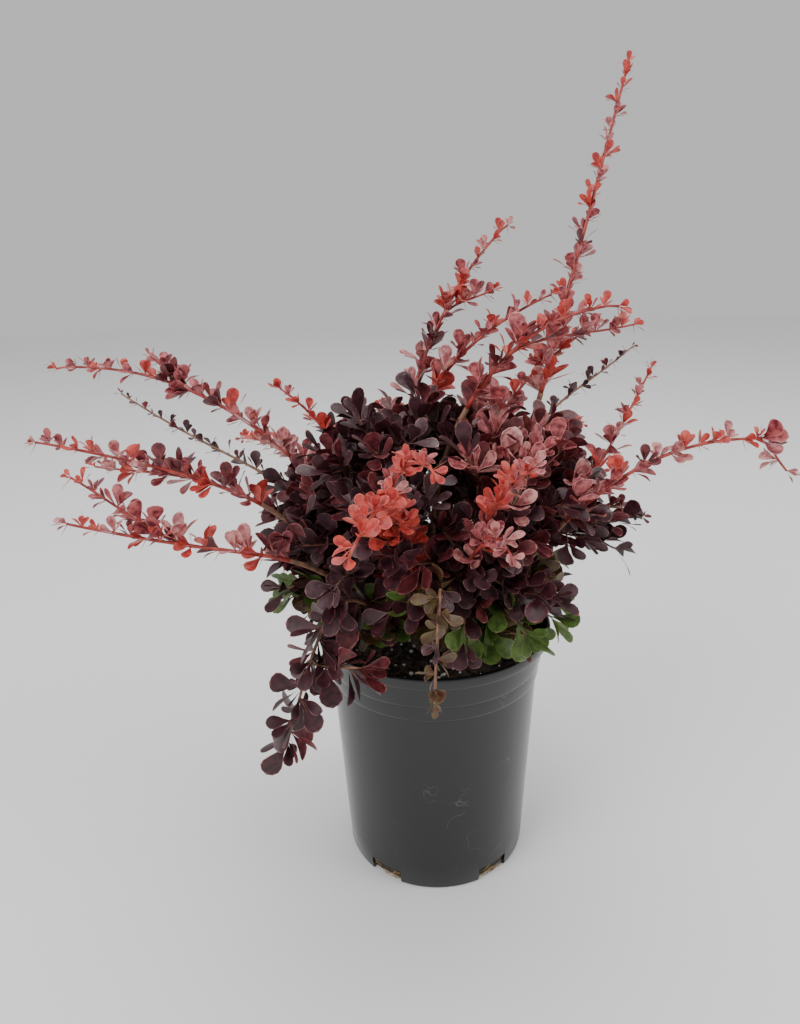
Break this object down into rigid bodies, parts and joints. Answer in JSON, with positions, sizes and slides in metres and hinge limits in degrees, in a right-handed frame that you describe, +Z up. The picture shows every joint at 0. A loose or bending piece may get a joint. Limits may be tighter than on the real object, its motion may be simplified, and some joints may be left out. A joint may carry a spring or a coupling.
{
  "type": "potted barberry shrub",
  "caption": "Young rose-leaved barberry shrub with a dense dark heart and long arching canes, in a glossy black nursery pot that it stands on.",
  "frame": {"origin": "centre of the pot's flat underside, at the level the pot stands on", "axes": "+Z up along the pot; the picture looks along +Y and a little down; +X is to its right"},
  "size_m": [0.4858, 0.4468, 0.5488],
  "materials": {
    "pot": "glossy thin-walled plastic with fine scratches and dust",
    "soil": "damp milled bark and peat with white grains and fibre",
    "old_stem": "grooved grey-brown bark",
    "young_stem": "smooth satin crimson bark",
    "leaf_burgundy": "satin leaf, dark burgundy with a pale margin",
    "leaf_rose": "satin leaf, rose mottled with maroon",
    "leaf_coral": "satin leaf, bright coral",
    "leaf_green": "satin leaf, bronze green"
  },
  "bodies": {
    "root": {"bough_back_left": "young_stem", "bough_back_mid": "young_stem", "bough_back_right": "young_stem", "bough_left_back": "old_stem", "bough_left_low": "young_stem", "bough_left_mid": "young_stem", "bough_left_top": "young_stem", "bough_right_long": "young_stem", "bough_right_thin": "old_stem", "bough_right_up": "young_stem", "bough_top_fork": "young_stem", "bough_top_lean": "young_stem", "bough_top_left": "young_stem", "bough_top_whip": "young_stem", "mass_back_droop": "leaf_burgundy", "mass_back_left": "leaf_rose", "mass_back_mid": "leaf_rose", "mass_back_right": "leaf_rose", "mass_front_coral": "leaf_coral", "mass_front_cross": "leaf_rose", "mass_front_droop": "leaf_burgundy", "mass_front_low": "leaf_rose", "mass_front_right": "leaf_rose", "mass_heart_1": "leaf_burgundy", "mass_heart_10": "leaf_burgundy", "mass_heart_2": "leaf_burgundy", "mass_heart_3": "leaf_burgundy", "mass_heart_4": "leaf_burgundy", "mass_heart_5": "leaf_burgundy", "mass_heart_6": "leaf_burgundy", "mass_heart_7": "leaf_burgundy", "mass_heart_8": "leaf_burgundy", "mass_heart_9": "leaf_burgundy", "mass_left_back": "leaf_burgundy", "mass_left_droop": "leaf_burgundy", "mass_left_low": "leaf_coral", "mass_left_mid": "leaf_coral", "mass_left_short": "leaf_coral", "mass_left_top": "leaf_rose", "mass_right_dark": "leaf_burgundy", "mass_right_long": "leaf_coral", "mass_right_thin": "leaf_burgundy", "mass_right_up": "leaf_rose", "mass_skirt_1": "leaf_green", "mass_skirt_2": "leaf_green", "mass_skirt_3": "leaf_green", "mass_skirt_4": "leaf_green", "mass_skirt_5": "leaf_green", "mass_skirt_6": "leaf_green", "mass_top_fork": "leaf_rose", "mass_top_lean": "leaf_rose", "mass_top_left": "leaf_rose", "mass_top_mid": "leaf_rose", "mass_top_whip": "leaf_coral", "pot": "pot", "soil": "soil", "stump": "old_stem"}
  },
  "joints": []
}
